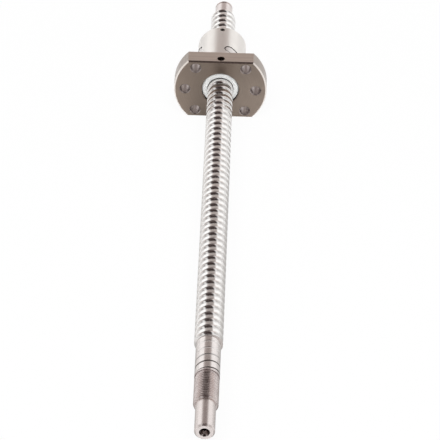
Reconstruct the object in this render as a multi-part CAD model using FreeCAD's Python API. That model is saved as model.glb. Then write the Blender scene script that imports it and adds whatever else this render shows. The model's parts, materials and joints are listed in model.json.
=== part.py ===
"""Ball screw with a flanged nut.

A screw with a right-hand ball thread is turned down at both ends and carries a flanged nut. Steel balls
run between the two grooves in closed circuits of one turn each. A deflector insert in the nut's wall ends
each turn: it lifts the balls over the screw's land and lets them back into the groove that they came from.
A wiper ring closes each end of the nut.

The axis lies along Y, with the origin on it at the shoulder of the fixed-end bearing seat. The thread runs
to +Y, and the bearing seat and the drive end run to -Y. +Z is square to the flange's flats. Angles run
clockwise from the top as seen from the drive end, which is the way the groove climbs along +Y. Lengths are
in millimetres, angles in degrees.
"""

import FreeCAD
import Part

import math
import os

# Thread and balls
lead = 4.0
screw_d = 11.5
ball_d = 2.381
ball_circle_over_screw = 0.95
groove_clearance = 0.09
thread_length = 239.0
thread_end_chamfer = 0.7

# Turned ends of the screw
seat_d = 10.0
seat_length = 20.0
relief_d = 9.5
relief_width = 0.7
lock_thread_d = 9.9
lock_thread_length = 15.3
lock_thread_chamfer = 0.7
drive_d = 8.0
drive_length = 15.0
float_d = 8.0
float_length = 10.0
ring_groove_d = 7.6
ring_groove_width = 0.9
ring_groove_place = 7.9
end_chamfer = 0.7
centre_mouth_d = 4.2
centre_pilot_d = 1.9
centre_pilot_length = 2.0
centre_angle = 60.0

# Nut: its place is the flange's front face
nut_place = 179.6
flange_d = 42.0
flange_thickness = 8.0
flange_flats = 30.0
flange_chamfer = 0.6
flange_rear_edge = 0.2
body_d = 22.0
body_chamfer = 0.5
nut_land_gap = 0.7
bolt_circle_d = 32.0
bolt_hole_d = 4.5
bolt_hole_chamfer = 0.3
bolt_angle = 45.0

# Grease port in the upper flat, and the oilway from its floor to the bore
port_d = 3.4
port_place = 2.7
port_roof = 3.4
oilway_d = 1.2

# Ball returns
circuits = 3
first_return_angle = 35.0
return_window = 28.0
return_lift = 0.7
ball_gap = 0.28
insert_wall = 0.7
insert_clearance = 0.05
insert_sink = 0.1
pocket_rim = 0.45
wall_before_returns = 4.37
wall_behind_returns = 1.5

# Wipers, and the grub screw that holds the rear one
wiper_bore_gap = 0.15
wiper_width = 2.2
wiper_thickness = 3.0
wiper_seat_gap = 0.3
wiper_seat_chamfer = 0.35
wiper_set_in = 0.6
wiper_end_gap = 0.05
wiper_edge = 0.3
wiper_lip = 0.2
bead_height = 0.25
bead_length = 1.2
grub_d = 2.1
grub_length = 2.3
grub_clearance = 0.03
grub_from_end = 2.4
grub_bite = 0.6
grub_socket = 1.0
grub_socket_depth = 0.9

# Worked out from the sizes above
ball_r = ball_d / 2
screw_r = screw_d / 2
ball_circle_r = screw_r + ball_circle_over_screw / 2
groove_r = ball_r + groove_clearance
nut_bore_r = screw_r + nut_land_gap

wiper_bore_r = screw_r + wiper_bore_gap
wiper_r = wiper_bore_r + wiper_width
wiper_seat_r = wiper_r + wiper_seat_gap
wiper_seat_depth = wiper_set_in + wiper_thickness + wiper_end_gap

# A return lifts the balls along an arc in a plane through the radius, tilted against the groove
window = math.radians(return_window)
window_side = ball_circle_r * math.sin(window)
window_height = ball_circle_r * math.cos(window)
window_axial = lead / 2 - lead * return_window / 360
return_half = math.hypot(window_side, window_axial)
return_tilt = math.degrees(math.atan2(window_axial, window_side))
return_top = screw_r + ball_r + return_lift
return_drop = return_top - window_height
return_arc_r = (return_half**2 + return_drop**2) / (2 * return_drop)
return_arc = 2 * math.atan(return_drop / return_half)
pocket_width = ball_d + 2 * insert_wall
pocket_axial = window_axial + pocket_width / 2

first_return = flange_thickness + wall_before_returns + pocket_axial
return_step = lead * (1 + 1 / circuits)
thread_end = first_return + return_step * (circuits - 1) + pocket_axial + wall_behind_returns
nut_length = thread_end + wiper_seat_depth
grub_place = nut_place + nut_length - grub_from_end

# The groove passes the first return half a lead before the return's middle
groove_at_top = nut_place + first_return - lead / 2 - lead * first_return_angle / 360

CENTRE = FreeCAD.Vector(0, 0, 0)
AXIS = FreeCAD.Vector(0, 1, 0)
UP = FreeCAD.Vector(0, 0, 1)
ACROSS_SPANS = 6
HALF_TURN_SPANS = 12
SEAM = 1e-4


def point(radius, angle, y):
    """The point at this radius, this angle in radians from the top, and this place on the axis."""
    return FreeCAD.Vector(radius * math.sin(angle), y, radius * math.cos(angle))


def rod(diameter, start, end):
    """A cylinder on the axis."""
    return Part.makeCylinder(diameter / 2, end - start, AXIS * start, AXIS)


def drill(diameter, start, end):
    """A cylinder from one point to another."""
    return Part.makeCylinder(diameter / 2, start.distanceToPoint(end), start, end - start)


def turned(outline):
    """A solid turned about the axis from (radius, place) corners."""
    corners = [FreeCAD.Vector(radius, y, 0) for radius, y in outline]
    return Part.Face(Part.makePolygon(corners + corners[:1])).revolve(CENTRE, AXIS, 360)


def half_turn(land_r, side, number):
    """The groove and land of half a turn; side is -1 on the screw, +1 in the nut."""
    spread = math.acos((land_r - ball_circle_r) * side / groove_r)
    slants = [spread * (2 * i / ACROSS_SPANS - 1) for i in range(ACROSS_SPANS + 1)]
    turns = [(number + i / HALF_TURN_SPANS) / 2 for i in range(HALF_TURN_SPANS + 1)]
    groove = Part.BSplineSurface()
    groove.interpolate([[
        point(
            ball_circle_r + side * groove_r * math.cos(slant),
            2 * math.pi * turn,
            groove_at_top + lead * turn + groove_r * math.sin(slant),
        ) for slant in slants] for turn in turns])
    near, far = groove.bounds()[2:]
    land_start = groove.vIso(far).toShape()
    land_end = groove.vIso(near).toShape().translated(AXIS * lead)
    return [groove.toShape(), Part.makeRuledSurface(land_start, land_end)]


def threaded(land_r, side, start, end):
    """The solid inside a ball thread, between two planes square to the axis."""
    first = math.floor(2 * (start - groove_at_top) / lead) - 3
    last = math.ceil(2 * (end - groove_at_top) / lead) + 2
    skin = Part.makeCompound([f for n in range(first, last) for f in half_turn(land_r, side, n)])
    skin.sewShape(SEAM)
    skin = skin.common(rod(4 * land_r, start, end))
    ends = []
    for y in (start, end):
        rim = [e for e in skin.Edges if e.BoundBox.YMin > y - SEAM and e.BoundBox.YMax < y + SEAM]
        ends.append(Part.Face(Part.Wire(Part.sortEdges(rim)[0])))
    closed = Part.makeCompound(skin.Faces + ends)
    closed.sewShape(SEAM)
    return Part.Solid(closed.Shells[0])


def centre_hole(end, inward):
    """A lathe centre in an end of the screw; inward is the way it goes along Y."""
    mouth, pilot = centre_mouth_d / 2, centre_pilot_d / 2
    slope = math.tan(math.radians(centre_angle / 2))
    cone = (mouth - pilot) / slope
    floor = cone + centre_pilot_length
    depths = [(0, 0), (mouth, 0), (pilot, cone), (pilot, floor), (0, floor + pilot * slope)]
    return turned([(radius, end + inward * depth) for radius, depth in depths])


def screw_shaft():
    """The threaded bar with its bearing seats, drive end and centres."""
    low, high = screw_r - thread_end_chamfer, screw_r + thread_end_chamfer
    chamfered = turned([
        (0, 0), (low, 0), (high, 2 * thread_end_chamfer), (high, thread_length - 2 * thread_end_chamfer),
        (low, thread_length), (0, thread_length)])
    thread = threaded(screw_r, -1, 0, thread_length).common(chamfered)

    relief = -seat_length
    lock = relief - relief_width
    drive = lock - lock_thread_length
    tip = drive - drive_length
    lock_r, drive_r = lock_thread_d / 2, drive_d / 2
    fixed_end = turned([
        (0, 0), (seat_d / 2, 0), (seat_d / 2, relief), (relief_d / 2, relief), (relief_d / 2, lock),
        (lock_r, lock), (lock_r, drive + lock_thread_chamfer), (lock_r - lock_thread_chamfer, drive),
        (drive_r, drive), (drive_r, tip + end_chamfer), (drive_r - end_chamfer, tip), (0, tip)])

    ring = thread_length + ring_groove_place
    ring_end = ring + ring_groove_width
    stop = thread_length + float_length
    float_r, ring_r = float_d / 2, ring_groove_d / 2
    float_end = turned([
        (0, thread_length), (float_r, thread_length), (float_r, ring), (ring_r, ring), (ring_r, ring_end),
        (float_r, ring_end), (float_r, stop - end_chamfer), (float_r - end_chamfer, stop), (0, stop)])

    shaft = thread.fuse([fixed_end, float_end])
    return shaft.cut([centre_hole(tip, 1), centre_hole(stop, -1)]).removeSplitter()


def at_return(shape, number):
    """A shape made at the top of the axis, moved to one of the ball returns."""
    angle = first_return_angle + 360 * number / circuits
    place = nut_place + first_return + return_step * number
    return shape.rotated(CENTRE, AXIS, angle).translated(AXIS * place)


def round_ended(corners, ends):
    """The face inside two straight sides and two arcs, from four corners and the arcs' middles."""
    right, left = ends
    return Part.Face(Part.Wire([
        Part.Arc(corners[0], right, corners[1]).toShape(), Part.makeLine(corners[1], corners[2]),
        Part.Arc(corners[2], left, corners[3]).toShape(), Part.makeLine(corners[3], corners[0])]))


def obround(width, low, high):
    """The upright outline of a return's insert or pocket, between two heights."""
    r, half = width / 2, return_half
    corners = [FreeCAD.Vector(x, y, low) for x, y in ((half, -r), (half, r), (-half, r), (-half, -r))]
    ends = [FreeCAD.Vector(x, 0, low) for x in (half + r, -half - r)]
    return round_ended(corners, ends).extrude(UP * (high - low)).rotated(CENTRE, UP, -return_tilt)


def return_channel():
    """The ball track under an insert: an arc over the land, and a run into the groove at each end."""
    tilt = math.radians(return_tilt)
    square = FreeCAD.Vector(math.sin(tilt), math.cos(tilt), 0)
    arc = Part.makeTorus(return_arc_r, groove_r, UP * (return_top - return_arc_r), square)
    mouth = FreeCAD.Vector(window_side, -window_axial, window_height)
    along = FreeCAD.Vector(window_height, lead / (2 * math.pi), -window_side).normalize()
    run = drill(2 * groove_r, mouth, mouth + along * pocket_width)
    return [arc, run, run.rotated(CENTRE, UP, 180)]


def deflector():
    """A return's insert: it fills its pocket from the bore to just under the nut's outside."""
    width = pocket_width - 2 * insert_clearance
    reach = return_half + pocket_width
    block = obround(width, 0, body_d).common(rod(body_d - 2 * insert_sink, -reach, reach))
    return block.cut([rod(2 * nut_bore_r, -reach, reach)] + return_channel())


def rim_step():
    """The shallow step round a return's pocket, at the nut's outside."""
    wide = obround(pocket_width + 2 * pocket_rim, 0, body_d)
    reach = return_half + pocket_width
    return wide.cut(rod(body_d - 2 * pocket_rim, -reach, reach))


def circuit_point(distance):
    """A ball's centre this far round a closed circuit from the middle of its return, at the top."""
    climb = math.hypot(ball_circle_r, lead / (2 * math.pi))
    groove_run = (2 * math.pi - 2 * window) * climb
    half_arc = return_arc * return_arc_r
    if half_arc <= distance <= half_arc + groove_run:
        angle = window + (distance - half_arc) / climb
        return point(ball_circle_r, angle, lead * angle / (2 * math.pi) - lead / 2)
    if distance > half_arc:
        distance -= 2 * half_arc + groove_run
    slant = distance / return_arc_r
    out = return_arc_r * math.sin(slant)
    tilt = math.radians(return_tilt)
    height = return_top - return_arc_r * (1 - math.cos(slant))
    return FreeCAD.Vector(out * math.cos(tilt), -out * math.sin(tilt), height)


def circuit_balls():
    """The balls of one circuit, evenly spaced from the middle of its return."""
    climb = math.hypot(ball_circle_r, lead / (2 * math.pi))
    path = 2 * return_arc * return_arc_r + (2 * math.pi - 2 * window) * climb
    count = math.floor(path / (ball_d + ball_gap))
    return [Part.makeSphere(ball_r, circuit_point(path * n / count)) for n in range(count)]


def flange():
    """The flange at the origin: a disc with two flats and chamfered rims."""
    r, top = flange_d / 2, flange_flats / 2
    side = math.sqrt(r**2 - top**2)
    corners = [FreeCAD.Vector(x, 0, z) for x, z in ((side, -top), (side, top), (-side, top), (-side, -top))]
    ends = [FreeCAD.Vector(x, 0, 0) for x in (r, -r)]
    plate = round_ended(corners, ends).extrude(AXIS * flange_thickness)
    for y, size in ((0, flange_chamfer), (flange_thickness, flange_rear_edge)):
        rim = [e for e in plate.Edges if all(abs(v.Y - y) < SEAM for v in e.Vertexes)]
        plate = plate.makeChamfer(size, rim)
    return plate


def bolt_hole(angle):
    """A chamfered through hole of the flange, at an angle from +X."""
    r, wide = bolt_hole_d / 2, bolt_hole_d / 2 + bolt_hole_chamfer
    far = flange_thickness
    hole = turned([
        (0, 0), (wide, 0), (r, bolt_hole_chamfer), (r, far - bolt_hole_chamfer), (wide, far), (0, far)])
    return hole.translated(FreeCAD.Vector(bolt_circle_d / 2, 0, 0)).rotated(CENTRE, AXIS, -angle)


def grease_way():
    """The port in the upper flat, and the oilway that slants from its floor to the bore."""
    floor = flange_flats / 2 - port_roof - port_d / 4
    port_floor = FreeCAD.Vector(0, port_place, floor)
    port = drill(port_d, port_floor, port_floor + UP * flange_flats)
    start = FreeCAD.Vector(0, port_place + port_d / 4, floor + oilway_d / 4)
    end = FreeCAD.Vector(0, first_return - window_axial, nut_bore_r - oilway_d / 4)
    return [port, drill(oilway_d, start, end)]


def nut_body():
    """The flanged nut: bore, ball groove, return pockets, wiper seats and holes."""
    r, end = body_d / 2, nut_length
    barrel = turned([(0, 0), (r, 0), (r, end - body_chamfer), (r - body_chamfer, end), (0, end)])
    outside = barrel.fuse(flange()).removeSplitter()

    bead_middle = wiper_set_in + wiper_thickness / 2
    bead_half = bead_length / 2 + bead_height
    bead_seat_r = wiper_seat_r + bead_height
    front_seat = turned([
        (0, 0), (wiper_seat_r + wiper_seat_chamfer, 0), (wiper_seat_r, wiper_seat_chamfer),
        (wiper_seat_r, bead_middle - bead_half),
        (bead_seat_r, bead_middle - bead_length / 2), (bead_seat_r, bead_middle + bead_length / 2),
        (wiper_seat_r, bead_middle + bead_half), (wiper_seat_r, wiper_seat_depth), (0, wiper_seat_depth)])
    rear_seat = rod(2 * wiper_seat_r, thread_end, nut_length)
    spread = bolt_angle
    holes = [bolt_hole(a) for a in (0, spread, 180 - spread, 180, 180 + spread, 360 - spread)]
    nut = outside.cut([front_seat, rear_seat] + holes + grease_way()).translated(AXIS * nut_place)

    bore = threaded(nut_bore_r, 1, nut_place + wiper_seat_depth, nut_place + thread_end)
    returns = [obround(pocket_width, nut_bore_r / 2, body_d), rim_step()]
    pockets = [at_return(shape, n) for shape in returns for n in range(circuits)]
    grub_hole = drill(grub_d, point(wiper_bore_r, 0, grub_place), point(body_d, 0, grub_place))
    return nut.cut(bore).cut(pockets + [grub_hole])


def front_wiper():
    """The ring at the flange, with a snap bead round it and a bevelled lip at its bore."""
    start = nut_place + wiper_set_in
    end = start + wiper_thickness
    middle = (start + end) / 2
    bead = wiper_r + bead_height
    return turned([
        (wiper_bore_r, start + wiper_lip), (wiper_bore_r + wiper_lip, start), (wiper_r - wiper_edge, start),
        (wiper_r, start + wiper_edge), (wiper_r, middle - bead_length / 2 - bead_height),
        (bead, middle - bead_length / 2), (bead, middle + bead_length / 2),
        (wiper_r, middle + bead_length / 2 + bead_height), (wiper_r, end), (wiper_bore_r, end)])


def rear_wiper():
    """The ring at the nut's far end, with a groove round it for the grub screw's point."""
    end = nut_place + nut_length - wiper_set_in
    start = end - wiper_thickness
    return turned([
        (wiper_bore_r, start), (wiper_r, start), (wiper_r, grub_place - grub_bite),
        (wiper_r - grub_bite, grub_place), (wiper_r, grub_place + grub_bite), (wiper_r, end - wiper_edge),
        (wiper_r - wiper_edge, end), (wiper_bore_r + wiper_lip, end), (wiper_bore_r, end - wiper_lip)])


def grub_screw():
    """The grub screw over the rear wiper: a cone point and a hexagon socket."""
    r = grub_d / 2 - grub_clearance
    tip = wiper_r - grub_bite + grub_clearance
    top = tip + grub_length
    shank = Part.makeCylinder(r, grub_length - r, point(tip + r, 0, grub_place), UP)
    cone = Part.makeCone(0, r, r, point(tip, 0, grub_place), UP)
    socket_r = grub_socket / math.sqrt(3)
    corners = [
        point(top, 0, grub_place) + FreeCAD.Vector(socket_r * math.cos(a), socket_r * math.sin(a), 0)
        for a in (math.pi * n / 3 for n in range(7))]
    socket = Part.Face(Part.makePolygon(corners)).extrude(UP * -grub_socket_depth)
    return shank.fuse(cone).cut(socket)


pieces = {
    "screw_shaft": screw_shaft(),
    "nut_body": nut_body(),
    "front_wiper": front_wiper(),
    "rear_wiper": rear_wiper(),
    "rear_wiper_grub_screw": grub_screw(),
}
insert = deflector()
balls = circuit_balls()
for circuit in range(circuits):
    pieces[f"deflector_{circuit + 1}"] = at_return(insert, circuit)
    for count, ball in enumerate(balls, 1):
        pieces[f"ball_{circuit + 1}_{count:02d}"] = at_return(ball, circuit)

os.makedirs("parts", exist_ok=True)
for name, shape in pieces.items():
    shape.exportStep(f"parts/{name}.step")
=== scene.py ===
import json
import math

import bpy
from mathutils import Matrix, Vector


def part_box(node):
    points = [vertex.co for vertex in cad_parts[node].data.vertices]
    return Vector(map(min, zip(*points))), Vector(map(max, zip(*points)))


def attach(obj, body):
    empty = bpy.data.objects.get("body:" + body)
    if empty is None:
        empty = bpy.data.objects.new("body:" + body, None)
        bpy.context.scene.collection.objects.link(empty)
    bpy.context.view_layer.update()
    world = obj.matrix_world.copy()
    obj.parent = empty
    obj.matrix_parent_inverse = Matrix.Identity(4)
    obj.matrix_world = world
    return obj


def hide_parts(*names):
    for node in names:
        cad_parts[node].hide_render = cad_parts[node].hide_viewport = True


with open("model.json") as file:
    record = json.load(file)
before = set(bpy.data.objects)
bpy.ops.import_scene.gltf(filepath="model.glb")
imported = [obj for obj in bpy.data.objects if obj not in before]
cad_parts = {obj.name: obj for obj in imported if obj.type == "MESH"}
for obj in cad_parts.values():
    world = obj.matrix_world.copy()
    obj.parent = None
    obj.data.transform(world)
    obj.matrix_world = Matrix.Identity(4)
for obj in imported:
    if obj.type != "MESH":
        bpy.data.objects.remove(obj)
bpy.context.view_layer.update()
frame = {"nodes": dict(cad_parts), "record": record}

MM = 0.001
TURN = 2 * math.pi

# Sizes that the frame gives
mounts = {m["name"]: m for m in frame["record"]["mounts"]}


def mount_size(name, key):
    """A mount's stated size, in metres."""
    return mounts[name]["dims"][key] * MM


lead = TURN * frame["record"]["behaviour"]["couplings"][0]["ratio"]
tip, stop = (corner.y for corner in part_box("screw_shaft"))
nut_front, nut_rear = (corner.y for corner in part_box("nut_body"))
seat_r = mount_size("fixed_bearing_seat", "r_mm")
seat_length = mount_size("fixed_bearing_seat", "length_mm")
lock_r = mount_size("lock_nut_thread", "r_mm")
drive_r = mount_size("drive_end", "r_mm")
float_r = mount_size("floating_bearing_seat", "r_mm")
body_r = mount_size("nut_spigot", "r_mm")
bolt_r = mount_size("flange_bolts_sides", "hole_r_mm")
bolt_circle_r = mount_size("flange_bolts_sides", "spacing_x_mm") / 2
port_r = mount_size("grease_port", "r_mm")
port_place = mounts["grease_port"]["pos_m"][1]
flange_rear = mounts["flange_seat"]["pos_m"][1]
flange_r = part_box("nut_body")[1].x
flange_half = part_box("nut_body")[1].z

# Thread and balls
screw_r = 5.75 * MM
ball_circle_r = 6.225 * MM
groove_r = 1.2805 * MM
nut_bore_r = 6.45 * MM
land_edge = 0.09 * MM
thread_end = 239 * MM
thread_end_chamfer = 0.7 * MM
first_return_angle = math.radians(35)
first_return = nut_front + 15.949 * MM
groove_at_top = first_return - lead / 2 - lead * first_return_angle / TURN
groove_at_side = groove_at_top + lead / 4

# Turned ends of the screw
relief_r = 4.75 * MM
relief_width = 0.7 * MM
seat_finish_end = -19.1 * MM
lock_end = tip + 15 * MM
lock_pitch = 1 * MM
lock_depth = 0.68 * MM
lock_groove_size = 1.2 * lock_depth
lock_groove_sides = 3
lock_chamfer = 0.7 * MM
core_inset = 0.2 * MM
core_overlap = 0.05 * MM
ring_groove_r = 3.8 * MM
ring_groove_width = 0.9 * MM
ring_groove_place = thread_end + 7.9 * MM
end_chamfer = 0.7 * MM
centre_mouth_r = 2.1 * MM
centre_pilot_r = 0.95 * MM
centre_pilot_length = 2 * MM
centre_point_r = 0.1 * MM
centre_slope = math.tan(math.radians(30))

# Nut
flange_chamfer = 0.6 * MM
flange_rear_edge = 0.2 * MM
body_chamfer = 0.5 * MM
bolt_chamfer = 0.3 * MM
bolt_angles = [TURN * n / 8 for n in (0, 1, 3, 4, 5, 7)]
port_floor = flange_half - 4.25 * MM
wiper_seat_r = 8.4 * MM
wiper_seat_depth = 3.65 * MM
wiper_seat_chamfer = 0.35 * MM
bead_height = 0.25 * MM
bead_length = 1.2 * MM
bead_middle = 2.1 * MM
pocket_width = 3.781 * MM
pocket_rim = 0.45 * MM
return_window = math.radians(28)
window_side = ball_circle_r * math.sin(return_window)
window_axial = lead / 2 - lead * return_window / TURN
pocket_half = math.hypot(window_side, window_axial)
return_tilt = math.atan2(window_axial, window_side)
circuits = 3
return_step = lead * (1 + 1 / circuits)
grub_r = 1.05 * MM
grub_place = nut_rear - 2.4 * MM

# Wipers
wiper_bore_r = 5.9 * MM
wiper_r = 8.1 * MM
wiper_thickness = 3 * MM
wiper_set_in = 0.6 * MM
wiper_edge = 0.3 * MM
wiper_lip = 0.2 * MM
grub_bite = 0.6 * MM

# Camera: pixels, metres and degrees, and the sensor's width in millimetres
image_pixels = 440
focal_pixels = 2450
sensor_width = 36
camera_clip = (0.01, 40)
camera_place = Vector((12.24, -740.006, 625.121)) * MM
camera_elevation = 37.248
camera_azimuth = 0.685
camera_roll = 1.326

# Fineness of the meshes
TURNED_SIDES = 128
HOLE_SIDES = 48
HELIX_STEPS = 48
GROOVE_SIDES = 40
GROOVE_EDGE_STEPS = 3
SMOOTH_ANGLE = math.radians(11)

# FINE counts as no distance, and NEAR is the margin of a face's test. A face SUNK below the seat's
# surface lies in the groove. A cutting tool reaches PAST the piece, and a helix has SPARE_TURNS.
FINE = 1e-7
NEAR = 0.02 * MM
SUNK = NEAR / 4
PAST = 1 * MM
SPARE_TURNS = 2

# The part of a noise's range that a finish is spread over
NOISE_LOW = 0.3
NOISE_HIGH = 0.7


def activate(piece):
    """Leaves one piece selected and active, in object mode."""
    if bpy.context.mode != "OBJECT":
        bpy.ops.object.mode_set(mode="OBJECT")
    bpy.ops.object.select_all(action="DESELECT")
    piece.select_set(True)
    bpy.context.view_layer.objects.active = piece


def pick(piece, kind, test):
    """Opens a piece in edit mode with only the items of one kind selected whose points pass a test."""
    activate(piece)
    bpy.ops.object.mode_set(mode="EDIT")
    bpy.ops.mesh.select_mode(type=kind)
    bpy.ops.mesh.select_all(action="DESELECT")
    bpy.ops.object.mode_set(mode="OBJECT")
    points = piece.data.vertices
    if kind == "VERT":
        for vertex in points:
            vertex.select = test([vertex.co])
    else:
        for item in piece.data.edges if kind == "EDGE" else piece.data.polygons:
            item.select = test([points[i].co for i in item.vertices])
    bpy.ops.object.mode_set(mode="EDIT")


def close_up():
    """Merges doubles, turns the faces outwards and leaves edit mode."""
    bpy.ops.mesh.select_all(action="SELECT")
    bpy.ops.mesh.remove_doubles(threshold=FINE)
    bpy.ops.mesh.normals_make_consistent(inside=False)
    bpy.ops.object.mode_set(mode="OBJECT")


def disc(name, radius, sides, place, turn, filled=True):
    """A flat disc or ring, with its place in its mesh."""
    bpy.ops.object.select_all(action="DESELECT")
    fill = "NGON" if filled else "NOTHING"
    bpy.ops.mesh.primitive_circle_add(
        vertices=sides, radius=radius, fill_type=fill, location=place, rotation=turn)
    piece = bpy.context.object
    piece.name = name
    bpy.ops.object.transform_apply()
    return piece


def turned(name, outline, sides=TURNED_SIDES, ring=False):
    """A piece turned about the screw's axis, from its (radius, place) corners.

    A disc at the first corner is drawn out to the last one, or a ring goes right round to the first.
    """
    (radius, y), *corners = outline
    piece = disc(name, radius, sides, (0, y, 0), (TURN / 4, 0, 0), filled=not ring)
    bpy.ops.object.mode_set(mode="EDIT")
    bpy.ops.mesh.select_all(action="SELECT")
    for next_radius, next_y in corners + outline[:1] * ring:
        bpy.ops.mesh.extrude_region_move(TRANSFORM_OT_translate={"value": (0, next_y - y, 0)})
        factor = next_radius / radius
        bpy.ops.transform.resize(value=(factor, 1, factor), center_override=(0, next_y, 0))
        radius, y = next_radius, next_y
    close_up()
    return piece


def combine(piece, tool, operation):
    """Joins, cuts or intersects a piece with a second solid, which is used up."""
    modifier = piece.modifiers.new(operation.title(), "BOOLEAN")
    modifier.operation = operation
    modifier.object = tool
    modifier.solver = "MANIFOLD"
    activate(piece)
    bpy.ops.object.modifier_apply(modifier=modifier.name)
    bpy.data.objects.remove(tool)


def threaded(name, groove, land_r, pitch, start, end, edge=0, inside=False):
    """A bar with a helical groove between two planes, or the filling of a bore that has such a groove.

    groove is the section's (radius, place, size, sides), and edge rounds the groove's rims.
    """
    centre_r, y, size, sides = groove
    piece = disc(name, size, sides, (centre_r, y, 0), (0, 0, TURN / 4))
    bpy.ops.object.mode_set(mode="EDIT")
    bpy.ops.mesh.select_all(action="SELECT")
    bpy.ops.mesh.bisect(
        plane_co=(land_r, 0, 0), plane_no=(1, 0, 0), clear_outer=not inside, clear_inner=inside,
        threshold=FINE)
    pick(piece, "EDGE", lambda ends: all(abs(p.x - land_r) < FINE for p in ends))
    bpy.ops.mesh.delete(type="EDGE")
    for side in (1, -1):
        pick(piece, "VERT", lambda p: abs(p[0].x - land_r) < FINE and side * (p[0].y - y) > 0)
        rim = next(v.co.y for v in piece.data.vertices if v.select)
        land = y + side * pitch / 2 - rim
        bpy.ops.mesh.extrude_region_move(TRANSFORM_OT_translate={"value": (0, land, 0)})
    if edge:
        pick(piece, "VERT", lambda p: abs(p[0].x - land_r) < FINE and abs(p[0].y - y) < pitch / 2 - FINE)
        bpy.ops.mesh.bevel(offset=edge, segments=GROOVE_EDGE_STEPS, affect="VERTICES")
    first = math.floor((start - y) / pitch) - SPARE_TURNS
    last = math.ceil((end - y) / pitch) + SPARE_TURNS
    bpy.ops.mesh.select_all(action="SELECT")
    bpy.ops.transform.translate(value=(0, first * pitch, 0))
    bpy.ops.object.mode_set(mode="OBJECT")
    helix = piece.modifiers.new("Helix", "SCREW")
    helix.axis = "Y"
    helix.angle = TURN
    helix.screw_offset = pitch
    helix.iterations = last - first
    helix.steps = helix.render_steps = HELIX_STEPS
    activate(piece)
    bpy.ops.object.modifier_apply(modifier=helix.name)
    bpy.ops.object.mode_set(mode="EDIT")
    bpy.ops.mesh.select_all(action="SELECT")
    bpy.ops.mesh.remove_doubles(threshold=FINE)
    for place, way in ((start, 1), (end, -1)):
        bpy.ops.mesh.select_all(action="SELECT")
        bpy.ops.mesh.bisect(
            plane_co=(0, place, 0), plane_no=(0, way, 0), use_fill=True, clear_inner=True, threshold=FINE)
    close_up()
    return piece


def centre_hole(end, inward):
    """The outline of a lathe centre, from its mouth to its bottom; inward is the way it goes along Y."""
    cone = (centre_mouth_r - centre_pilot_r) / centre_slope
    floor = cone + centre_pilot_length
    point = floor + (centre_pilot_r - centre_point_r) * centre_slope
    depths = [(centre_mouth_r, 0), (centre_pilot_r, cone), (centre_pilot_r, floor), (centre_point_r, point)]
    return [(radius, end + inward * depth) for radius, depth in depths]


def screw_shaft():
    """The screw: ball thread, bearing seats, fine thread, drive end and centres in one bar."""
    relief = -seat_length
    lock = relief - relief_width
    ball_groove = (ball_circle_r, groove_at_side, groove_r, GROOVE_SIDES)
    shaft = threaded(
        "screw_shaft_bar", ball_groove, screw_r, lead, relief - lead, thread_end + lead, land_edge)
    over = screw_r + thread_end_chamfer
    low = screw_r - thread_end_chamfer
    outside = turned("outside", [
        (seat_r, relief), (seat_r, 0), (low, 0), (over, 2 * thread_end_chamfer),
        (over, thread_end - 2 * thread_end_chamfer), (low, thread_end)])
    combine(shaft, outside, "INTERSECT")

    depth_r = lock_r - lock_depth
    fine_groove = (depth_r + lock_groove_size, lock, lock_groove_size, lock_groove_sides)
    fine_thread = threaded("fine_thread", fine_groove, lock_r, lock_pitch, lock_end, lock)
    fine_outside = turned("fine_outside", [
        (lock_r - lock_chamfer, lock_end), (lock_r, lock_end + lock_chamfer),
        (lock_r, lock - lock_chamfer / 2), (lock_r - lock_chamfer / 2, lock)])
    combine(fine_thread, fine_outside, "INTERSECT")
    combine(shaft, fine_thread, "UNION")

    inner_r = depth_r - core_inset
    relief_start = lock - core_overlap
    relief_end = relief + relief_width
    ring_end = ring_groove_place + ring_groove_width
    core = turned("core", centre_hole(tip, 1)[::-1] + [
        (drive_r - end_chamfer, tip), (drive_r, tip + end_chamfer), (drive_r, lock_end),
        (inner_r, lock_end), (inner_r, relief_start), (relief_r, relief_start), (relief_r, relief_end),
        (inner_r, relief_end), (inner_r, thread_end - lead), (float_r, thread_end - lead),
        (float_r, ring_groove_place), (ring_groove_r, ring_groove_place), (ring_groove_r, ring_end),
        (float_r, ring_end), (float_r, stop - end_chamfer), (float_r - end_chamfer, stop),
    ] + centre_hole(stop, -1))
    combine(shaft, core, "UNION")

    # Splits the seat's faces where its finish ends
    activate(shaft)
    bpy.ops.object.mode_set(mode="EDIT")
    bpy.ops.mesh.select_all(action="SELECT")
    bpy.ops.mesh.bisect(plane_co=(0, seat_finish_end, 0), plane_no=(0, 1, 0), threshold=FINE)
    bpy.ops.object.mode_set(mode="OBJECT")
    return shaft


def moved(piece, *steps):
    """Carries a piece through turns and shifts, the first step last, and keeps its place in its mesh."""
    place = Matrix.Identity(4)
    for step in steps:
        place = place @ step
    piece.matrix_world = place
    activate(piece)
    bpy.ops.object.transform_apply()
    return piece


def shift(x, y, z):
    """A step by x, y and z."""
    return Matrix.Translation((x, y, z))


def prism(name, radius, low, high, half=0):
    """An upright round bar between two heights, or a round-ended one that reaches half to each side."""
    piece = disc(name, radius, HOLE_SIDES, (0, 0, low), (0, 0, 0))
    for side in (1, -1):
        pick(piece, "VERT", lambda p: side * p[0].x > FINE)
        bpy.ops.transform.translate(value=(side * half, 0, 0))
    bpy.ops.mesh.select_all(action="SELECT")
    bpy.ops.mesh.extrude_region_move(TRANSFORM_OT_translate={"value": (0, 0, high - low)})
    close_up()
    return piece


def at_return(piece, number):
    """Moves a piece made at the top of the axis to one of the ball returns."""
    angle = first_return_angle + TURN * number / circuits
    place = shift(0, first_return + return_step * number, 0)
    return moved(piece, place, Matrix.Rotation(angle, 4, "Y"), Matrix.Rotation(-return_tilt, 4, "Z"))


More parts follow.
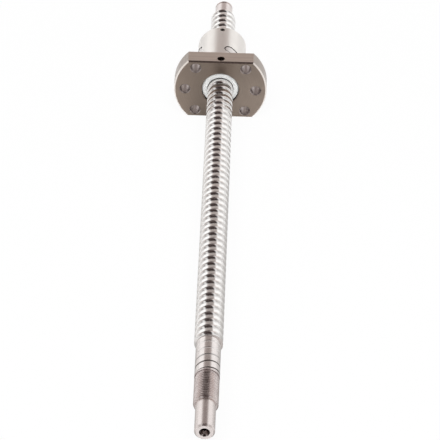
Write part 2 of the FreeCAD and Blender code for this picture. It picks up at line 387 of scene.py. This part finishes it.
def flange():
    """The flange: a disc with two flats and chamfered rims."""
    plate = turned("nut_body_steel", [(flange_r, nut_front), (flange_r, flange_rear)])
    bpy.ops.object.mode_set(mode="EDIT")
    for side in (1, -1):
        bpy.ops.mesh.select_all(action="SELECT")
        bpy.ops.mesh.bisect(
            plane_co=(0, 0, side * flange_half), plane_no=(0, 0, side), use_fill=True, clear_outer=True,
            threshold=FINE)
    close_up()
    for face, size in ((nut_front, flange_chamfer), (flange_rear, flange_rear_edge)):
        pick(plate, "EDGE", lambda ends: all(abs(p.y - face) < FINE for p in ends))
        bpy.ops.mesh.bevel(offset=size, segments=1, affect="EDGES")
        close_up()
    return plate


def bolt_hole(angle):
    """A chamfered bolt hole's inside, at an angle from +X."""
    past = bolt_chamfer
    wide = bolt_r + bolt_chamfer + past
    hole = turned("bolt_hole", [
        (wide, nut_front - past), (bolt_r, nut_front + bolt_chamfer),
        (bolt_r, flange_rear - bolt_chamfer), (wide, flange_rear + past)], HOLE_SIDES)
    return moved(hole, Matrix.Rotation(-angle, 4, "Y"), shift(bolt_circle_r, 0, 0))


def front_seat():
    """The inside of the front wiper's seat, with a chamfered mouth and a groove for the wiper's bead."""
    mouth_r = wiper_seat_r + wiper_seat_chamfer + PAST
    bead_start = nut_front + bead_middle - bead_length / 2
    bead_end = bead_start + bead_length
    bead_r = wiper_seat_r + bead_height
    return turned("front_seat", [
        (mouth_r, nut_front - PAST), (wiper_seat_r, nut_front + wiper_seat_chamfer),
        (wiper_seat_r, bead_start - bead_height), (bead_r, bead_start), (bead_r, bead_end),
        (wiper_seat_r, bead_end + bead_height), (wiper_seat_r, nut_front + wiper_seat_depth)])


def rear_seat():
    """The inside of the rear wiper's seat."""
    return turned("rear_seat", [(wiper_seat_r, nut_rear - wiper_seat_depth), (wiper_seat_r, nut_rear + PAST)])


def nut_body():
    """The nut: flange and barrel, bore with its ball groove, wiper seats, return pockets and holes."""
    nut = flange()
    barrel = turned("barrel", [
        (body_r, nut_front + flange_chamfer), (body_r, nut_rear - body_chamfer),
        (body_r - body_chamfer, nut_rear)])
    combine(nut, barrel, "UNION")
    bore_start = nut_front + wiper_seat_depth - PAST
    bore_end = nut_rear - wiper_seat_depth + PAST
    groove = (ball_circle_r, groove_at_side, groove_r, GROOVE_SIDES)
    tools = [
        front_seat(),
        rear_seat(),
        threaded("bore", groove, nut_bore_r, lead, bore_start, bore_end, inside=True),
        moved(prism("port", port_r, port_floor, flange_half + PAST), shift(0, port_place, 0)),
        moved(prism("grub_hole", grub_r, wiper_bore_r, body_r + PAST), shift(0, grub_place, 0)),
    ]
    tools += [bolt_hole(angle) for angle in bolt_angles]
    pocket_r = pocket_width / 2
    pocket_low, pocket_high = nut_bore_r / 2, body_r + PAST
    step_floor_r = body_r - pocket_rim
    for number in range(circuits):
        pocket = prism("pocket", pocket_r, pocket_low, pocket_high, pocket_half)
        tools.append(at_return(pocket, number))
        step = prism("pocket_step", pocket_r + pocket_rim, pocket_low, pocket_high, pocket_half)
        step = at_return(step, number)
        inner = turned("inner", [(step_floor_r, nut_front), (step_floor_r, nut_rear)])
        combine(step, inner, "DIFFERENCE")
        tools.append(step)
    for tool in tools:
        combine(nut, tool, "DIFFERENCE")
    return nut


def front_wiper():
    """The ring at the flange, with a snap bead round it and a bevelled lip at its bore."""
    start = nut_front + wiper_set_in
    end = start + wiper_thickness
    middle = nut_front + bead_middle
    bead = wiper_r + bead_height
    return turned("front_wiper_ring", [
        (wiper_bore_r, start + wiper_lip), (wiper_bore_r + wiper_lip, start), (wiper_r - wiper_edge, start),
        (wiper_r, start + wiper_edge), (wiper_r, middle - bead_length / 2 - bead_height),
        (bead, middle - bead_length / 2), (bead, middle + bead_length / 2),
        (wiper_r, middle + bead_length / 2 + bead_height), (wiper_r, end), (wiper_bore_r, end)], ring=True)


def rear_wiper():
    """The ring at the nut's far end, with a groove round it for the grub screw's point."""
    end = nut_rear - wiper_set_in
    start = end - wiper_thickness
    return turned("rear_wiper_ring", [
        (wiper_bore_r, start), (wiper_r, start), (wiper_r, grub_place - grub_bite),
        (wiper_r - grub_bite, grub_place), (wiper_r, grub_place + grub_bite), (wiper_r, end - wiper_edge),
        (wiper_r - wiper_edge, end), (wiper_bore_r + wiper_lip, end), (wiper_bore_r, end - wiper_lip),
    ], ring=True)


def add(tree, kind, inputs, **settings):
    """A new shader node; each input is a value, or another node's output that is linked to it."""
    node = tree.nodes.new("ShaderNode" + kind)
    for name, value in settings.items():
        setattr(node, name, value)
    for name, value in inputs.items():
        if isinstance(value, bpy.types.NodeSocket):
            tree.links.new(value, node.inputs[name])
        else:
            node.inputs[name].default_value = value
    return node


def finish(name, **values):
    """A new finish: its material, its node tree and its shader, with the shader's own values set."""
    material = bpy.data.materials.new(name)
    material.use_nodes = True
    shader = material.node_tree.nodes["Principled BSDF"]
    for socket, value in values.items():
        shader.inputs[socket.replace("_", " ")].default_value = value
    return material, material.node_tree, shader


def place_on(tree):
    """The place on the piece, and its x, y and z."""
    place = add(tree, "TexCoord", {}).outputs["Object"]
    return place, add(tree, "SeparateXYZ", {"Vector": place}).outputs


def off_axis(tree, place):
    """The distance from the screw's axis."""
    across = add(tree, "VectorMath", {0: place, 1: (1, 0, 1)}, operation="MULTIPLY").outputs[0]
    return add(tree, "VectorMath", {0: across}, operation="LENGTH").outputs["Value"]


def spread(tree, value, low, high, start=NOISE_LOW, end=NOISE_HIGH):
    """A value brought from one range into another."""
    inputs = {"Value": value, "From Min": start, "From Max": end, "To Min": low, "To Max": high}
    return add(tree, "MapRange", inputs).outputs["Result"]


def lines(tree, along, spacing):
    """Fine lines of uneven width and strength, square to one direction."""
    inputs = {"W": along, "Scale": 1 / spacing, "Detail": 3.0}
    return add(tree, "TexNoise", inputs, noise_dimensions="1D").outputs["Fac"]


def clouds(tree, place, size):
    """Soft blotches of about one size."""
    return add(tree, "TexNoise", {"Vector": place, "Scale": 1 / size, "Detail": 2.0}).outputs["Fac"]


def coat(tree, shader, share, dull, bright, rough):
    """Colours a surface between two colours by a share, and sets its roughness."""
    mix = add(tree, "Mix", {0: share, 6: (*dull, 1), 7: (*bright, 1)}, data_type="RGBA")
    tree.links.new(mix.outputs[2], shader.inputs["Base Color"])
    tree.links.new(rough, shader.inputs["Roughness"])


def raise_marks(tree, shader, height, depth):
    """Raises marks on a surface."""
    bump = add(tree, "Bump", {"Height": height, "Distance": depth, "Strength": 1.0})
    tree.links.new(bump.outputs[0], shader.inputs["Normal"])


def worked_steel(name, dull, bright, rough, spacing, depth, faced=False):
    """Steel with the fine lines of turning or grinding, square to the axis, or in rings on a faced end."""
    material, tree, shader = finish(name, Metallic=1)
    place, parts = place_on(tree)
    marks = lines(tree, off_axis(tree, place) if faced else parts["Y"], spacing)
    patches = clouds(tree, place, size=5 * MM)
    coat(tree, shader, spread(tree, marks, 0, 1), dull, bright, spread(tree, patches, *rough))
    raise_marks(tree, shader, marks, depth)
    return material


def mottled(name, dark, light, rough, size, metallic=1.0):
    """A surface with soft blotches instead of lines."""
    material, tree, shader = finish(name, Metallic=metallic)
    place = place_on(tree)[0]
    blotches = clouds(tree, place, size)
    coat(tree, shader, spread(tree, blotches, 0, 1), dark, light, spread(tree, blotches, *rough))
    return material


def ball_thread_steel():
    """The ball thread: polished lands, and grooves painted a little darker as shade."""
    material, tree, shader = finish("ball_thread_steel", Metallic=1)
    place, parts = place_on(tree)
    groove_below, land_above = screw_r - 0.3 * MM, screw_r - 0.03 * MM
    land = spread(tree, off_axis(tree, place), 0, 1, groove_below, land_above)
    rough = spread(tree, clouds(tree, place, size=3 * MM), low=0.12, high=0.2)
    # Darker towards the groove's bottom: painted shade in the groove
    coat(tree, shader, land, dull=(0.74, 0.72, 0.71), bright=(0.87, 0.855, 0.84), rough=rough)
    raise_marks(tree, shader, lines(tree, parts["Y"], spacing=0.15 * MM), depth=0.0003 * MM)
    return material


def groove_remains_shade():
    """What the seat's turning left of the groove, painted as shade: black towards the fine thread, bright at
    the shoulder.
    """
    material, tree, shader = finish("groove_remains_shade", Metallic=1)
    place, parts = place_on(tree)
    black_until, bright_from = -0.75 * seat_length, -0.3 * seat_length
    # Painted shade, fading from black to bright along the axis
    less_shade = spread(tree, parts["Y"], 0, 1, black_until, bright_from)
    rough = spread(tree, clouds(tree, place, size=1 * MM), low=0.25, high=0.4)
    coat(tree, shader, less_shade, dull=(0.10, 0.085, 0.08), bright=(0.8, 0.765, 0.75), rough=rough)
    return material


def white_plastic():
    """The wipers: white plastic with faint rings from its turning."""
    material, tree, shader = finish(
        "white_plastic", Subsurface_Weight=0.6, Subsurface_Scale=1 * MM, Subsurface_Radius=(1, 1, 1))
    place = place_on(tree)[0]
    rings = lines(tree, off_axis(tree, place), spacing=0.45 * MM)
    rough = spread(tree, clouds(tree, place, size=2 * MM), low=0.38, high=0.5)
    white = spread(tree, rings, 0, 1)
    coat(tree, shader, white, dull=(0.80, 0.805, 0.795), bright=(0.88, 0.885, 0.875), rough=rough)
    raise_marks(tree, shader, rings, depth=0.004 * MM)
    return material


def paint(piece, material, test):
    """Gives one of the finishes to the faces whose points pass a test."""
    piece.data.materials.append(material)
    pick(piece, "FACE", test)
    piece.active_material_index = len(piece.data.materials) - 1
    bpy.ops.object.material_slot_assign()
    bpy.ops.object.mode_set(mode="OBJECT")


def radius(p):
    """A point's distance from the axis."""
    return math.hypot(p.x, p.z)


def within(ps, start, end):
    """Whether all points lie between two places along the axis."""
    return all(start - NEAR < p.y < end + NEAR for p in ps)


def on_thread_chamfer(ps):
    """Whether all points lie on the chamfer at the ball thread's near end."""
    return all(abs(radius(p) - p.y - screw_r + thread_end_chamfer) < NEAR for p in ps)


def on_groove_remains(ps):
    """Whether a face of the bearing seat lies in what is left of the ball groove."""
    sunk = any(radius(p) < seat_r - SUNK for p in ps)
    return sunk and within(ps, seat_finish_end, 0) and all(radius(p) > relief_r + NEAR for p in ps)


def on_front_edge(ps):
    """Whether a face lies on the chamfer round the flange's front."""
    if not within(ps, nut_front, nut_front + flange_chamfer):
        return False
    low_r = flange_r - flange_chamfer - NEAR
    low_z = flange_half - flange_chamfer - NEAR
    outer = all(radius(p) > low_r or abs(p.z) > low_z for p in ps)
    return outer and any(p.y > nut_front + NEAR for p in ps)


def in_bolt_hole(ps):
    """Whether all points lie in one bolt hole or on its chamfers."""
    if not within(ps, nut_front, flange_rear):
        return False
    reach = bolt_r + bolt_chamfer + NEAR
    for angle in bolt_angles:
        x = bolt_circle_r * math.cos(angle)
        z = bolt_circle_r * math.sin(angle)
        if all(math.hypot(p.x - x, p.z - z) < reach for p in ps):
            return True
    return False


def on_pocket_step(ps):
    """Whether a face lies in the step round a deflector."""
    if not within(ps, flange_rear + NEAR, nut_rear - body_chamfer - NEAR):
        return False
    in_wall = all(body_r - pocket_rim - NEAR < radius(p) < body_r + NEAR for p in ps)
    return in_wall and any(radius(p) < body_r - pocket_rim / 2 for p in ps)


def paint_shaft(shaft):
    """The screw's finishes: each length of it was worked in its own way, and its ball grooves, what is left
    of them in the seat and its centre holes are painted darker as shade.
    """
    ends = worked_steel(
        "turned_end", dull=(0.68, 0.62, 0.60), bright=(0.77, 0.705, 0.685), rough=(0.24, 0.32),
        spacing=0.15 * MM, depth=0.002 * MM)
    seat = worked_steel(
        "ground_seat", dull=(0.70, 0.655, 0.635), bright=(0.80, 0.75, 0.73), rough=(0.18, 0.26),
        spacing=0.2 * MM, depth=0.001 * MM)
    fine = mottled(
        "fine_thread_steel", dark=(0.55, 0.485, 0.47), light=(0.67, 0.605, 0.59), rough=(0.22, 0.30),
        size=2.5 * MM)
    matt = mottled(
        "matt_relief", dark=(0.43, 0.375, 0.365), light=(0.51, 0.455, 0.445), rough=(0.45, 0.55),
        size=1 * MM)
    # The centre holes' cone and pilot are painted dark: painted shade in the hollows
    cone = mottled(
        "centre_cone_shade", dark=(0.29, 0.255, 0.245), light=(0.37, 0.33, 0.32), rough=(0.1, 0.16),
        size=1 * MM)
    pilot_shade = mottled(
        "centre_pilot_shade", dark=(0.05, 0.042, 0.04), light=(0.10, 0.085, 0.08), rough=(0.4, 0.5),
        size=1 * MM)
    chamfer = worked_steel(
        "turned_chamfer", dull=(0.72, 0.675, 0.655), bright=(0.82, 0.77, 0.75), rough=(0.6, 0.7),
        spacing=0.15 * MM, depth=0.002 * MM)
    paint(shaft, ball_thread_steel(), lambda ps: True)
    paint(shaft, ends, lambda ps: within(ps, tip, lock_end) or within(ps, thread_end, stop))
    paint(shaft, seat, lambda ps: within(ps, -seat_length, 0))
    paint(shaft, fine, lambda ps: within(ps, lock_end, seat_finish_end))
    paint(shaft, matt, lambda ps: within(ps, -seat_length - relief_width, -seat_length))
    paint(shaft, cone, lambda ps: all(radius(p) < centre_mouth_r + NEAR for p in ps))
    paint(shaft, pilot_shade, lambda ps: all(radius(p) < centre_pilot_r + NEAR for p in ps))
    paint(shaft, chamfer, on_thread_chamfer)
    paint(shaft, groove_remains_shade(), on_groove_remains)


def paint_nut(nut):
    """The nut's finishes: a flange of one steel painted darker on its face, lighter on its flats and rim and
    brightest on its front chamfer, as painted shade and highlight; a pale ground barrel; and holes and steps
    painted dark as shade.
    """
    # One flange steel in lit and shaded copies: the face darker as painted shade, the flats and rim lighter
    # as painted light, the front chamfer brightest as painted highlight
    face = worked_steel(
        "flange_face_shade", dull=(0.26, 0.21, 0.175), bright=(0.34, 0.275, 0.23), rough=(0.3, 0.38),
        spacing=0.25 * MM, depth=0.012 * MM, faced=True)
    flat = worked_steel(
        "flange_flat_light", dull=(0.50, 0.43, 0.38), bright=(0.73, 0.64, 0.565), rough=(0.28, 0.36),
        spacing=0.5 * MM, depth=0.006 * MM)
    rim = worked_steel(
        "flange_rim_painted_light", dull=(0.35, 0.30, 0.265), bright=(0.43, 0.375, 0.335), rough=(0.28, 0.36),
        spacing=0.25 * MM, depth=0.003 * MM)
    edge = worked_steel(
        "flange_edge_highlight", dull=(0.80, 0.74, 0.69), bright=(0.88, 0.82, 0.77), rough=(0.12, 0.18),
        spacing=0.2 * MM, depth=0.001 * MM)
    barrel = worked_steel(
        "ground_barrel", dull=(0.75, 0.715, 0.68), bright=(0.82, 0.785, 0.75), rough=(0.30, 0.36),
        spacing=0.2 * MM, depth=0.002 * MM)
    # The bolt holes are painted darker inside: painted shade in the hollows
    hole = worked_steel(
        "drilled_hole_shade", dull=(0.36, 0.31, 0.295), bright=(0.46, 0.405, 0.39), rough=(0.34, 0.44),
        spacing=0.3 * MM, depth=0.006 * MM)
    # The step round each deflector is painted near black: painted shade in the recess
    step_shade = mottled(
        "deflector_step_shade", dark=(0.03, 0.026, 0.024), light=(0.08, 0.07, 0.065), rough=(0.4, 0.6),
        size=0.6 * MM, metallic=0.6)
    paint(nut, face, lambda ps: True)
    paint(nut, flat, lambda ps: all(abs(p.z) > flange_half - NEAR for p in ps))
    paint(nut, rim, lambda ps: all(radius(p) > flange_r - NEAR for p in ps))
    paint(nut, edge, on_front_edge)
    paint(nut, barrel, lambda ps: (
        within(ps, flange_rear, nut_rear) and all(radius(p) < body_r + NEAR for p in ps)))
    paint(nut, hole, in_bolt_hole)
    paint(nut, step_shade, on_pocket_step)


def seen_share(tree, camera_share, mirror_share):
    """How much of a surface's own white is shown to the camera, and to mirrors and glass."""
    path = add(tree, "LightPath", {}).outputs
    mirror = add(
        tree, "Math", {0: path["Is Glossy Ray"], 1: path["Is Transmission Ray"]}, operation="MAXIMUM")
    mirror = add(tree, "Math", {0: mirror.outputs[0], 1: mirror_share}, operation="MULTIPLY")
    camera = add(tree, "Math", {0: path["Is Camera Ray"], 1: camera_share}, operation="MULTIPLY")
    return add(tree, "Math", {0: camera.outputs[0], 1: mirror.outputs[0]}, operation="MAXIMUM").outputs[0]


def plane(name, size, place, turn, material):
    """A flat stage piece."""
    bpy.ops.object.select_all(action="DESELECT")
    bpy.ops.mesh.primitive_plane_add(size=1, location=place, rotation=turn)
    piece = bpy.context.object
    piece.name = name
    piece.scale = (*size, 1)
    bpy.ops.object.transform_apply()
    piece.data.materials.append(material)
    return piece


def white_floor():
    """A white floor under the flange's lower flat, which keeps a faint shadow."""
    material, tree, shader = finish(
        "floor_white", Base_Color=(0.92, 0.92, 0.92, 1), Roughness=1, Specular_IOR_Level=0)
    glow = add(tree, "Emission", {"Color": (1, 1, 1, 1)})
    share = seen_share(tree, camera_share=0.93, mirror_share=0.3)
    mix = add(tree, "MixShader", {0: share, 1: shader.outputs[0], 2: glow.outputs[0]})
    tree.links.new(mix.outputs[0], tree.nodes["Material Output"].inputs["Surface"])
    plane("floor", size=(16, 16), place=(0, 0.1, -flange_half), turn=(0, 0, 0), material=material)


def white_surround():
    """A white surround: full white where it is seen, and a soft fill on the object."""
    world = bpy.data.worlds.new("white_surround")
    bpy.context.scene.world = world
    world.use_nodes = True
    tree = world.node_tree
    fill = tree.nodes["Background"]
    fill.inputs["Color"].default_value = (1, 1, 1, 1)
    fill.inputs["Strength"].default_value = 0.5
    white = add(tree, "Background", {"Color": (1, 1, 1, 1), "Strength": 1.0})
    share = seen_share(tree, camera_share=1, mirror_share=1)
    mix = add(tree, "MixShader", {0: share, 1: fill.outputs[0], 2: white.outputs[0]})
    tree.links.new(mix.outputs[0], tree.nodes["World Output"].inputs["Surface"])


def lamp(name, place, target, size, radiance, mirrored=True):
    """A soft rectangular lamp that faces a target; mirrored says whether reflections show it."""
    data = bpy.data.lights.new(name, "AREA")
    data.shape = "RECTANGLE"
    data.size, data.size_y = size
    data.energy = radiance * math.pi * size[0] * size[1]
    holder = bpy.data.objects.new(name, data)
    bpy.context.scene.collection.objects.link(holder)
    away = Vector(place) - Vector(target)
    holder.matrix_world = Matrix.Translation(place) @ away.to_track_quat("Z", "Y").to_matrix().to_4x4()
    holder.visible_glossy = mirrored


def mirror_card(name, size, place, turn, tint, axis, shades):
    """A tinted card seen only in reflections; its shade follows (place, shade) pairs along an axis."""
    material, tree, shader = finish(name)
    tree.nodes.remove(shader)
    first, last = shades[0][0], shades[-1][0]
    ramp = add(tree, "ValToRGB", {"Fac": spread(tree, place_on(tree)[1][axis], 0, 1, first, last)})
    marks = ramp.color_ramp.elements
    for number, (along, shade) in enumerate(shades):
        mark = marks[number] if number < 2 else marks.new(1)
        mark.position = (along - first) / (last - first)
        mark.color = (*(shade * part for part in tint), 1)
    glow = add(tree, "Emission", {"Color": ramp.outputs[0]})
    tree.links.new(glow.outputs[0], tree.nodes["Material Output"].inputs["Surface"])
    card = plane(name, size, place, turn, material)
    card.visible_camera = card.visible_diffuse = card.visible_shadow = False


def studio():
    """The floor, the surround, soft lamps, and cards seen only in reflections: gaps and a painted floor
    shadow.
    """
    white_floor()
    white_surround()
    lamp("left_lamp", place=(-1.5, 2.7, 1.2), target=(0, 2.7, 0.4), size=(2.8, 2.0), radiance=0.2)
    lamp("right_lamp", place=(1.5, 2.5, 1.2), target=(0, 2.5, 0.4), size=(3.2, 2.0), radiance=0.15)
    lamp("front_lamp", place=(0, -1.8, 2.6), target=(0, 0.1, 0), size=(2.4, 1.6), radiance=6.5,
         mirrored=False)
    brown, warm, plain = (1, 0.74, 0.70), (1, 0.88, 0.84), (1, 0.985, 0.97)
    level, across, along = (0, 0, 0), (TURN / 4, 0, 0), (TURN / 4, 0, TURN / 4)
    # The cards with the painted shadow on the floor lie just above it
    shadow_card_height = 0.2 * MM - flange_half
    cards = [
        # name, size, place, turn, tint, axis, and the (place, shade) pairs along that axis
        ("overhead_gap", (2.7, 4.9), (-0.02, -1.15, 2.4), level, brown, "Y",
         [(-3.6, 0.2), (-2.2, 0.1), (-1.0, 0.055), (1.3, 0.055)]),
        ("back_gap", (3.15, 4.7), (-0.12, 3.65, 2.4), level, warm, "Y",
         [(1.3, 0.07), (1.8, 0.12), (2.9, 0.42), (3.6, 0.46), (4.0, 0.66), (6.0, 0.74)]),
        ("front_gap", (6.4, 2.6), (0, -3.6, 1.25), across, warm, "X",
         [(-3.2, 0.95), (-2.2, 0.8), (-1.6, 0.45), (-0.9, 0.12), (0.8, 0.12), (1.6, 0.85), (3.2, 1.0)]),
        ("left_front", (5.0, 3.0), (-3.2, -1.1, 1.45), along, plain, "Z",
         [(0, 0.95), (1.2, 0.85), (2.0, 0.55), (2.95, 0.35)]),
        ("right_front", (4.4, 3.0), (3.2, -1.4, 1.45), along, plain, "Z",
         [(0, 0.95), (1.2, 0.78), (2.95, 0.6)]),
        # A painted shadow: the floor darker next to the screw and nut, as the metal mirrors it
        ("left_floor_shadow", (0.2, 0.2), (-0.106, 0.04, shadow_card_height), level, plain, "X",
         [(-0.206, 1.0), (-0.045, 0.95), (-0.025, 0.63), (-0.006, 0.57)]),
        ("flange_floor_shadow", (0.03, 0.04), (-0.021, 0.16, shadow_card_height), level, plain, "X",
         [(-0.036, 1.0), (-0.018, 0.9), (-0.006, 0.4)]),
        ("right_floor_shadow", (0.2, 0.2), (0.106, 0.04, shadow_card_height), level, plain, "X",
         [(0.006, 0.45), (0.02, 0.6), (0.06, 0.75), (0.206, 0.9)]),
    ]
    for card in cards:
        mirror_card(*card)


def photo_camera():
    """The camera at the photograph's place and angle."""
    data = bpy.data.cameras.new("photo_camera")
    data.sensor_width = sensor_width
    data.lens = sensor_width * focal_pixels / image_pixels
    data.clip_start, data.clip_end = camera_clip
    elevation, azimuth, roll = (math.radians(a) for a in (camera_elevation, camera_azimuth, camera_roll))
    level = math.cos(elevation)
    back = Vector((math.sin(azimuth) * level, -math.cos(azimuth) * level, math.sin(elevation)))
    right = (-back).cross(Vector((0, 0, 1))).normalized()
    axes = Matrix((right, right.cross(-back), back)).transposed().to_4x4()
    camera = bpy.data.objects.new("photo_camera", data)
    bpy.context.scene.collection.objects.link(camera)
    camera.matrix_world = Matrix.Translation(camera_place) @ axes @ Matrix.Rotation(roll, 4, "Z")
    bpy.context.scene.camera = camera
    bpy.context.scene.view_settings.view_transform = "Standard"


shaft = screw_shaft()
nut = nut_body()
front_ring = front_wiper()
rear_ring = rear_wiper()

# Each new piece with its body, the CAD node it stands for and its material slot
made = [
    (shaft, "screw", "screw_shaft", "screw_steel"),
    (nut, "nut", "nut_body", "nut_steel"),
    (front_ring, "front_wiper", "front_wiper", "wiper_plastic"),
    (rear_ring, "nut", "rear_wiper", "wiper_plastic"),
]
for piece, body, node, slot in made:
    piece.data.materials.clear()
    activate(piece)
    bpy.ops.object.shade_smooth_by_angle(angle=SMOOTH_ANGLE)
    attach(piece, body)
    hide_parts(node)

paint_shaft(shaft)
paint_nut(nut)
plastic = white_plastic()
front_ring.data.materials.append(plastic)
rear_ring.data.materials.append(plastic)

# Finishes of the CAD nodes that stay, by the first word of their names
carried = {
    "deflector": mottled(
        "sintered_deflector", dark=(0.66, 0.62, 0.60), light=(0.78, 0.74, 0.715), rough=(0.3, 0.42),
        size=0.3 * MM),
    "ball": mottled(
        "bright_ball", dark=(0.82, 0.82, 0.81), light=(0.88, 0.88, 0.87), rough=(0.04, 0.09),
        size=1 * MM),
    "rear": mottled(
        "black_grub_screw", dark=(0.02, 0.019, 0.018), light=(0.05, 0.047, 0.045), rough=(0.35, 0.5),
        size=0.5 * MM, metallic=0.8),
}
for name, node in frame["nodes"].items():
    if not node.hide_render:
        node.data.materials.clear()
        node.data.materials.append(carried[name.split("_")[0]])

studio()
photo_camera()
